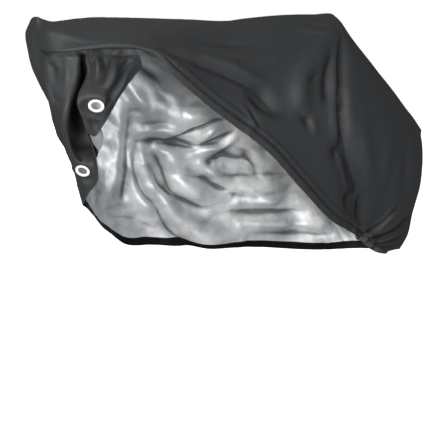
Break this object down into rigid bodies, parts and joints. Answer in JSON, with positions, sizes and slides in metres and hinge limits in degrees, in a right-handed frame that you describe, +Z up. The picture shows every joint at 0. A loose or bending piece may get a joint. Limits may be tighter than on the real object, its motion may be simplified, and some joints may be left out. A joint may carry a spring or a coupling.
{
  "type": "bicycle cover",
  "caption": "Hollow fitted cloth cover hanging over a bicycle's outline, with turned hems, a front corner hooked up and eyelets through its cloth.",
  "frame": {"origin": "under the ridge of the cover, between handlebar and saddle, where the bicycle carries it", "axes": "+X towards the bicycle's tail, -Y towards the side with the hooked-up corner, +Z up"},
  "size_m": [1.6949, 0.6185, 1.0183],
  "materials": {
    "near_cloth": "coated plain weave, charcoal outside and silver inside",
    "far_cloth": "coated plain weave, charcoal outside and silver inside",
    "corner_cloth": "coated plain weave, charcoal outside and silver inside",
    "eyelet_plastic": "white, moulded"
  },
  "bodies": {
    "root": {"near_side_panel": "near_cloth", "far_side_panel": "far_cloth", "near_front_corner": "corner_cloth", "eyelet_flap": "eyelet_plastic", "eyelet_nose": "eyelet_plastic"}
  },
  "joints": []
}
